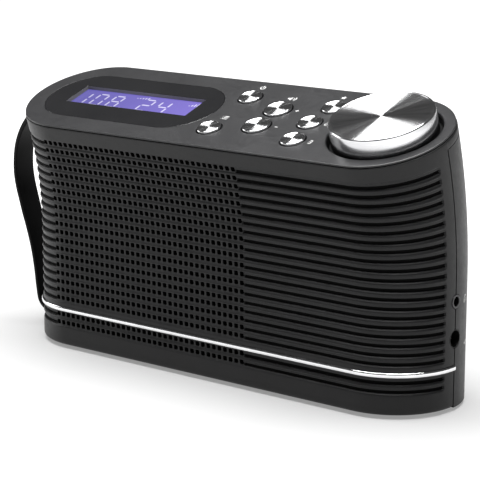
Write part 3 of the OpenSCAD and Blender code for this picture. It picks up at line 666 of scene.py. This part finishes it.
def front_shell():
    us, starts = skin_columns()
    levels, rows = skin_levels()
    field = (FIELD_U - 1.1, us[starts[-1] + 3] + 0.05)
    n = len(us)
    verts, faces, slots = [], [], []
    inside = set()
    for level in levels:
        for u in us:
            depth = skin_depth(u, level, field)
            u, s, cut = clear_of_sockets(u, level[0])
            if cut:
                inside.add(len(verts))
                depth = 0.05
            verts.append(skin_point(u, s, depth))
    open_faces = {(j, k) for j0, j1 in rows for j in range(j0, j1)
                  for i0 in starts for k in range(i0, i0 + 3)}
    for j in range(len(levels) - 1):
        for k in range(n - 1):
            face = (j * n + k, j * n + k + 1, (j + 1) * n + k + 1, (j + 1) * n + k)
            if (j, k) not in open_faces and not inside.issuperset(face):
                faces.append(face)
                # slot 1 is the near-black painted shade for groove floors and seams
                slots.append(int(painted_shade_face(us[k], us[k + 1], levels[j], levels[j + 1], field)))
    for j0, j1 in rows:
        for i0 in starts:
            ring, corners = hole_edge(n, j0, j1, i0)
            wall = hole_wall(verts, ring, us[i0] + HOLE_W, (levels[j0][0] + levels[j1][0]) / 2)
            # The walls of each hole take the near-black painted shade.
            faces += corners + wall
            slots += [0] * len(corners) + [1] * len(wall)
    # Inner edges along the two seams, and the underside.
    for side, k in ((0.0, 0), (FRONT_U, n - 1)):
        base = len(verts)
        verts += [skin_point(side, level[0], max(level[1], SKIN)) for level in levels]
        for j in range(1, len(levels) - 1):
            if not inside.issuperset((j * n + k, (j + 1) * n + k)):
                faces.append((j * n + k, (j + 1) * n + k, base + j + 1, base + j))
                slots.append(0)
    faces.append(tuple(range(n)))
    slots.append(0)
    obj = make("front_skin", verts, faces, [SHELL, PAINTED_SHADE], slots, sharp=50)
    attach(obj, "radio")
    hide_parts("front_shell")


front_shell()


def rear_band():
    """The front shell's closed band where it passes round the back, under the deck."""
    us = [FRONT_U + LOOP_U / 2 * i / 90 for i in range(91)]
    levels = [(BAND_S + 0.06, SKIN), (BAND_S + 0.06, 0.30), (BAND_S + 0.22, 0.06), (BAND_S + 0.4, 0.0),
              (98.4, 0.0), (RIM_S - 0.5, 0.0)]
    levels += [(RIM_S - drop, inset) for drop, inset in RIM]
    verts = [skin_point(u, s, inset) for s, inset in levels for u in us]
    obj = make("rear_band", verts, grid(len(us), len(levels)), [SHELL], sharp=50)
    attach(obj, "radio")


rear_band()


def trim_strip():
    us = [0.25 + (FRONT_U - 0.5) * i / 150 for i in range(151)]
    profile = [(-1.02, -0.45), (-1.02, 0.30), (-0.92, 0.52), (-0.70, 0.68), (-0.35, 0.76), (0.0, 0.78),
               (0.35, 0.76), (0.70, 0.68), (0.92, 0.52), (1.02, 0.30), (1.02, -0.45)]
    verts = [skin_point(u, STRIP_S + o, -p) for o, p in profile for u in us]
    faces = grid(len(us), len(profile))
    n = len(us)
    faces.append(tuple(j * n for j in range(len(profile))))
    faces.append(tuple(j * n + n - 1 for j in reversed(range(len(profile)))))
    obj = make("trim_strip", verts, faces, [CHROME], sharp=50)
    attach(obj, "radio")
    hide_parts("chrome_strip")


trim_strip()

# ---- deck -----------------------------------------------------------------
BUTTONS = {"on_off": (3.2, 43.7, 5.2), "menu": (2.5, 15.1, 5.2), "volume_up": (22.9, 36.4, 6.1),
           "volume_down": (22.5, 21.4, 6.1), "preset_1": (46.7, 43.2, 5.2), "preset_2": (44.2, 28.9, 5.2),
           "preset_3": (45.8, 14.4, 5.2)}
WINDOW_X, WINDOW_SPAN, WINDOW_R = -51.0, 54.2, 19.1
LCD_X, LCD_V, LCD_W, LCD_D = -50.5, 30.2, 68.4, 15.3
WELL_R = 23.4
BUTTON_GAP = 0.45
GLASS_H, GLYPH_H = -1.75, -1.70


def deck():
    edge = ((0.85, 0.0), (0.65, -0.03), (0.47, -0.10), (0.36, -0.22), (0.32, -0.36),
            (0.32, -0.58), (0.38, -0.67), (0.5, -0.70), (2.4, -0.70))
    outer = [(stadium_loop(MID_X, END_R, SIDE_X, END_R - inset, 64), h) for inset, h in edge]
    holes = []
    for x, v, r in BUTTONS.values():
        r += BUTTON_GAP
        holes.append([(circle_loop(x, v, r + out, 48), h)
                      for out, h in ((0.28, 0.0), (0.1, -0.05), (0.0, -0.22), (0.0, -2.3))])
    holes.append([(circle_loop(*DIAL, WELL_R + out, 128), h)
                  for out, h in ((0.7, 0.0), (0.42, -0.06), (0.14, -0.24), (0.0, -0.6), (-0.1, -1.4))])
    holes.append([(stadium_loop(WINDOW_X, END_R, WINDOW_SPAN / 2, WINDOW_R + 0.1 + out), h)
                  for out, h in ((0.22, 0.0), (0.05, -0.06), (0.0, -0.2), (0.0, -1.6))])
    obj = plate("deck_plate", outer, holes, [DECK_GREY_AND_PAINTED_LIGHT], DECK)
    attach(obj, "radio")
    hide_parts("top_deck")
    profile = [(WELL_R - 0.1, -1.3), (WELL_R - 0.12, -3.2), (WELL_R - 0.4, -4.0), (WELL_R - 1.2, -4.45),
               (16.8, -4.5), (16.6, -4.2), (16.0, -4.2), (15.8, -4.55), (4.7, -4.6), (4.7, -6.3)]
    # The well takes the black plastic darkened as painted shade.
    well = revolve("dial_well", profile, [WELL_BLACK_AND_PAINTED_SHADE], deck_matrix(*DIAL), 128)
    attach(well, "radio")


deck()


def window():
    outer = [(stadium_loop(WINDOW_X, END_R, WINDOW_SPAN / 2, WINDOW_R - inset), h)
             for inset, h in ((0.3, -0.02), (0.1, -0.08), (0.02, -0.25), (0.02, -1.5))]
    hole = [(rounded_rect(LCD_X, LCD_V, LCD_W + 0.1, LCD_D + 0.1, 0.4), -0.02),
            (rounded_rect(LCD_X, LCD_V, LCD_W, LCD_D, 0.4), -0.12)]
    obj = plate("window_lens", outer, [hole], [WINDOW], DECK, fill_z=-0.02)
    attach(obj, "radio")
    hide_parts("display_window")
    wall = plate("lcd_surround", [(rounded_rect(LCD_X, LCD_V, LCD_W + 3, LCD_D + 3, 0.8), -2.0)],
                 [[(rounded_rect(LCD_X, LCD_V, LCD_W - 0.1, LCD_D - 0.1, 0.35), -2.0),
                   (rounded_rect(LCD_X, LCD_V, LCD_W, LCD_D, 0.35), -0.12)]], [LCD_EDGE], DECK, fill_z=-2.0)
    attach(wall, "radio")
    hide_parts("lcd_frame")
    across, down = 24, 8
    verts = []
    for j in range(down + 1):
        for i in range(across + 1):
            verts.append(((i / across - 0.5) * (LCD_W + 1), (j / down - 0.5) * (LCD_D + 1), 0.0))
    glass = make("lcd_screen", verts, grid(across + 1, down + 1), [LCD],
                 matrix=deck_matrix(LCD_X, LCD_V, GLASS_H), scale=MM)
    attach(glass, "radio")
    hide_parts("lcd_glass")


window()


def stroke(verts, faces, a, b, w):
    """A flat bar from a to b with pointed ends, like a display segment."""
    a, b = Vector(a), Vector(b)
    d = (b - a).normalized()
    p = Vector((-d.y, d.x)) * w / 2
    k = len(verts)
    verts += [a, a + d * w / 2 + p, b - d * w / 2 + p, b, b - d * w / 2 - p, a + d * w / 2 - p]
    faces.append((k, k + 5, k + 4, k + 3, k + 2, k + 1))


SEGMENTS = {"a": ((0, 2), (1, 2)), "b": ((1, 2), (1, 1)), "c": ((1, 1), (1, 0)), "d": ((0, 0), (1, 0)),
            "e": ((0, 1), (0, 0)), "f": ((0, 2), (0, 1)), "g": ((0, 1), (1, 1))}
DIGITS = {"0": "abcdef", "1": "bc", "2": "abged", "3": "abgcd", "4": "fgbc", "8": "abcdefg"}


def lcd_characters():
    verts, faces = [], []

    w, h, foot = 5.2, 9.6, -5.2

    def digit(ch, x):
        for seg in DIGITS[ch]:
            (ax, ay), (bx, by) = SEGMENTS[seg]
            ends = []
            for px, py, sx, sy in ((ax, ay, bx - ax, by - ay), (bx, by, ax - bx, ay - by)):
                # each segment stops a little short of the corner
                ends.append((x + px * w + sx * 0.066 * w, foot + py * h / 2 + sy * 0.05 * h))
            stroke(verts, faces, ends[0], ends[1], 0.95)
    for x, ch in zip((-33.0, -23.6, -14.2, 3.4, 12.8), "10824"):
        digit(ch, x)
    stroke(verts, faces, (-6.4, foot), (-5.2, foot), 1.1)
    for i in range(5):
        stroke(verts, faces, (-2.6 + i * 1.5, 4.4), (-2.6 + i * 1.5, 5.2 + 0.25 * i), 0.8)
    for i in range(4):
        stroke(verts, faces, (27.4 + i * 1.4, 3.2), (27.4 + i * 1.4, 4.0 + 0.8 * i), 0.7)
    obj = make("lcd_characters", [(v.x, v.y, 0.0) for v in verts], faces, [GLYPH],
               matrix=deck_matrix(LCD_X, LCD_V, GLYPH_H), scale=MM)
    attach(obj, "radio")


lcd_characters()


def arc_ring(verts, faces, cx, cy, r, w, a0, a1, n=20):
    k = len(verts)
    for i in range(n + 1):
        a = math.radians(a0 + (a1 - a0) * i / n)
        for rr in (r - w / 2, r + w / 2):
            verts.append(Vector((cx + rr * math.cos(a), cy + rr * math.sin(a))))
    for i in range(n):
        faces.append((k + 2 * i, k + 2 * i + 1, k + 2 * i + 3, k + 2 * i + 2))


def deck_marks():
    """Small plain signs beside the buttons."""
    verts, faces = [], []

    def bar(a, b, w=0.42):
        stroke(verts, faces, a, b, w)

    def digit(ch, x, y):
        for seg in DIGITS[ch]:
            a, b = [(x + (ex - 0.5) * 1.3, y + (ey / 2 - 0.5) * 2.4) for ex, ey in SEGMENTS[seg]]
            bar(a, b, 0.36)
    arc_ring(verts, faces, 3.1, 53.1, 1.15, 0.4, 120, 420)
    bar((3.1, 53.3), (3.1, 54.9))
    # loudspeaker with two arcs
    k = len(verts)
    verts += [Vector(p) for p in ((21.0, 46.1), (21.8, 46.1), (22.9, 45.2), (22.9, 48.0), (21.8, 47.1),
                                  (21.0, 47.1))]
    faces.append(tuple(range(k, k + 6)))
    arc_ring(verts, faces, 23.0, 46.6, 1.1, 0.36, -45, 45, 8)
    arc_ring(verts, faces, 23.0, 46.6, 2.0, 0.36, -45, 45, 10)
    bar((31.2, 37.3), (33.0, 37.3))
    bar((32.1, 36.4), (32.1, 38.2))
    bar((30.9, 22.6), (32.5, 22.6))
    # star, list and numbers
    k = len(verts)
    sx, sy = 45.6, 52.2
    verts.append(Vector((sx, sy)))
    for i in range(10):
        a = math.pi / 2 + i * math.pi / 5
        r = 1.5 if i % 2 == 0 else 0.62
        verts.append(Vector((sx + r * math.cos(a), sy + r * math.sin(a))))
    faces += [(k, k + 1 + i, k + 1 + (i + 1) % 10) for i in range(10)]
    for i in range(3):
        bar((1.9, 23.9 + i * 1.05), (2.4, 23.9 + i * 1.05))
        bar((2.8, 23.9 + i * 1.05), (5.2, 23.9 + i * 1.05))
    digit("1", 53.6, 44.0)
    digit("2", 52.1, 29.8)
    digit("3", 54.3, 14.5)
    obj = make("deck_marks", [(v.x, v.y, 0.012) for v in verts], faces, [INK], matrix=DECK, scale=MM)
    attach(obj, "radio")


deck_marks()


# ---- buttons and dial -----------------------------------------------------
def button(name, x, v, r):
    profile = [(0, 0.80), (r * 0.35, 0.80), (r * 0.7, 0.81), (r - 0.62, 0.83), (r - 0.55, 0.87),
               (r - 0.45, 0.895), (r - 0.32, 0.89), (r - 0.14, 0.78), (r - 0.03, 0.60), (r, 0.42),
               (r, -2.6), (r + 1.0, -2.6), (r + 1.0, -3.38), (1.8, -3.4), (1.8, -7.5), (0, -7.55)]
    slots = [0] * 4 + [1] * (len(profile) - 5)
    obj = revolve(name + "_cap", profile, [SPUN_SMALL, POLISHED], deck_matrix(x, v), 64, slots)
    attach(obj, name + "_button")
    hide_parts(name + "_button")


for name, (x, v, r) in BUTTONS.items():
    button(name, x, v, r)


def dial():
    place = deck_matrix(*DIAL)
    top = revolve("dial_face", [(0, 6.90), (6, 6.90), (12, 6.91), (19.4, 6.94), (20.4, 6.96), (20.55, 6.90)],
                  [SPUN], place, 160)
    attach(top, "dial")
    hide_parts("dial_cap")
    profile = [(20.5, 6.85), (20.6, 7.08), (20.72, 7.16), (20.95, 7.18), (21.22, 7.03), (21.43, 6.77),
               (21.5, 6.45), (21.6, 3.5), (21.72, -0.5), (21.78, -3.1), (21.6, -3.36), (19.3, -3.38),
               (19.3, 1.4), (5.4, 1.4), (5.4, -2.9), (3.05, -2.9)]
    side = revolve("dial_ring", profile, [SIDE], place, 160)
    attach(side, "dial")
    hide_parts("dial_skirt")


dial()

# ---- strap ----------------------------------------------------------------
STRAP = [(-101.5, 7), (-109, 6.2), (-114.2, 9.5), (-115.8, 16), (-116.8, 24), (-118.6, 34), (-121.5, 44),
         (-125, 54), (-127.2, 62), (-127.3, 69), (-125, 77), (-121, 83.5), (-115.5, 89.2), (-109.3, 93.6),
         (-101.5, 94.5)]
STRAP_R = 0.58  # the strap's rounded edge


def spline(points, steps):
    """Catmull-Rom curve through the points."""
    path = []
    last = len(points) - 1
    for i in range(last):
        p = [Vector(points[max(0, min(last, i + k))]) for k in (-1, 0, 1, 2)]
        for j in range(steps):
            t = j / steps
            path.append(0.5 * (2 * p[1] + (p[2] - p[0]) * t + (2 * p[0] - 5 * p[1] + 4 * p[2] - p[3]) * t * t
                               + (3 * p[1] - p[0] - 3 * p[2] + p[3]) * t ** 3))
    path.append(Vector(points[-1]))
    return path


def strap():
    path = spline(STRAP, 10)
    verts, section = [], []
    for sx, sy, start in ((1, -1, -0.5), (1, 1, 0.0), (-1, 1, 0.5), (-1, -1, 1.0)):
        for i in range(6):
            a = math.pi * (start + 0.5 * i / 5)
            section.append((sx * 0.4 + STRAP_R * math.cos(a), sy * 5.35 + STRAP_R * math.sin(a)))
    for i, q in enumerate(path):
        d = (path[min(len(path) - 1, i + 1)] - path[max(0, i - 1)]).normalized()
        normal = Vector((-d.y, d.x))
        for off, across in section:
            # a shallow channel is pressed along the middle of each side
            dip = 0.12 * max(0.0, 1 - abs(across) / 4.4) * (1 if off > 0 else -1)
            p = q + normal * (off - dip)
            verts.append(body_point(p.x, END_R + across, p.y))
    n = len(section)
    faces = grid(n, len(path), closed=True)
    faces.append(tuple(range(n)))
    faces.append(tuple(reversed(range(n * (len(path) - 1), n * len(path)))))
    obj = make("carrying_strap", verts, faces, [STRAP_MAT], sharp=60)
    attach(obj, "radio")
    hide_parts("carry_strap")


strap()


# ---- sockets --------------------------------------------------------------
def sockets():
    x = MID_X + BODY_W / 2
    turn = Matrix.Rotation(math.pi / 2, 4, "Y")
    jack = Matrix.Translation(body_point(x, END_R, JACK_S)) @ turn
    profile = [(3.05, -3.0), (3.05, -0.7), (2.88, -0.65), (2.86, -0.02), (2.8, 0.10), (2.65, 0.15),
               (2.2, 0.15), (2.02, 0.08), (1.97, -0.1), (1.97, -2.0), (2.05, -2.1), (2.05, -13.0), (0, -13.2)]
    # The headphone collar takes the deck's plastic, which is kept lighter partly as painted light; its bore
    # takes the near-black painted shade.
    ring = revolve("headphone_ring", profile, [DECK_GREY_AND_PAINTED_LIGHT, PAINTED_SHADE], jack, 64, [1, 1] + [0] * 6 + [1] * 4)
    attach(ring, "radio")
    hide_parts("headphone_jack")
    dc = Matrix.Translation(body_point(x, END_R, SUPPLY_S)) @ turn
    profile = [(3.85, -3.0), (3.85, -0.24), (3.8, -0.18), (3.6, -0.10), (3.5, -0.12), (3.4, -0.26),
               (3.4, -9.0), (0.66, -9.0), (0.66, -2.6), (0.4, -2.3), (0, -2.25)]
    # The supply socket's bore takes the near-black painted shade; the pin is steel.
    barrel = revolve("supply_socket", profile, [SHELL, PAINTED_SHADE, STEEL], dc, 64, [0] * 5 + [1] * 2 + [2] * 3)
    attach(barrel, "radio")
    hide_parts("dc_socket")


sockets()


def socket_marks():
    """A headphone sign and a supply sign printed on the rear shell, behind their sockets."""
    flat, faces = [], []

    def ring(cu, cs, r, a0=0, a1=360):
        arc_ring(flat, faces, cu, cs, r, 0.34, a0, a1, 24)
    ring(9.2, 43.2, 1.5, 0, 180)
    for side in (-1, 1):
        stroke(flat, faces, (9.2 + side * 1.5, 43.4), (9.2 + side * 1.5, 41.7), 0.75)
    ring(11.5, 24.6, 0.9, 35, 325)
    ring(11.5, 24.6, 0.22)
    stroke(flat, faces, (8.6, 24.6), (10.5, 24.6), 0.34)
    stroke(flat, faces, (11.8, 24.6), (14.4, 24.6), 0.34)
    verts = [skin_point(FRONT_U + p.x, p.y, -0.012) for p in flat]
    obj = make("socket_marks", verts, faces, [INK])
    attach(obj, "radio")


socket_marks()


# ---- stage ----------------------------------------------------------------
def floor():
    """A pale floor, lit by the softboxes near the object and glowing evenly further out."""
    n = Nodes("floor_white")
    c = n.coords()
    spots = n.noise(c, 3.0, 3)
    colour = n.mix(spots, (0.40, 0.40, 0.40), (0.42, 0.42, 0.42))
    far = n.add("VectorMath", {0: c}, operation="LENGTH").outputs["Value"]
    reach = {"Value": far, "From Min": 0.07, "From Max": 0.42, "To Min": 0.28, "To Max": 0.95}
    glow = n.add("MapRange", reach, interpolation_type="SMOOTHSTEP").outputs["Result"]
    n.surface(color=colour, rough=0.5, emit=(1.0, 1.0, 1.0), power=glow, specular=0.2)
    obj = make("floor", [(-6, -6, 0), (6, -6, 0), (6, 6, 0), (-6, 6, 0)], [(0, 1, 2, 3)], [n.mat])


floor()


def world():
    n = Nodes("studio", world=True)
    bg = n.add("Background", {"Color": (1, 1, 1, 1), "Strength": 0.07})
    out = n.add("OutputWorld")
    n.tree.links.new(bg.outputs[0], out.inputs[0])


world()


def softbox(name, place, aim, size, power):
    light = bpy.data.lights.new(name, "AREA")
    light.shape = "RECTANGLE"
    light.size, light.size_y = size
    light.energy = power
    obj = bpy.data.objects.new(name, light)
    obj.location = place
    obj.rotation_euler = (Vector(aim) - Vector(place)).to_track_quat("-Z", "Y").to_euler()
    bpy.context.scene.collection.objects.link(obj)


softbox("overhead", (0.0, -0.05, 1.1), (0, 0, 0.05), (1.1, 0.8), 30)
softbox("left", (-1.3, -0.3, 0.5), (0, 0, 0.05), (0.6, 0.9), 5)


def camera():
    scene = bpy.context.scene
    scene.view_settings.view_transform = "Standard"
    scene.view_settings.look = "None"
    cam = bpy.data.cameras.new("camera")
    cam.lens = 140.3
    cam.sensor_width = 36.0
    cam.clip_end = 50
    obj = bpy.data.objects.new("camera", cam)
    az, el, distance = math.radians(38.0), math.radians(12.8), 0.764
    target = Vector((0.0327, -0.0256, 0.0637))
    away = Vector((math.sin(az) * math.cos(el), -math.cos(az) * math.cos(el), math.sin(el)))
    obj.location = target + away * distance
    obj.rotation_euler = (-away).to_track_quat("-Z", "Y").to_euler()
    scene.collection.objects.link(obj)
    scene.camera = obj


camera()
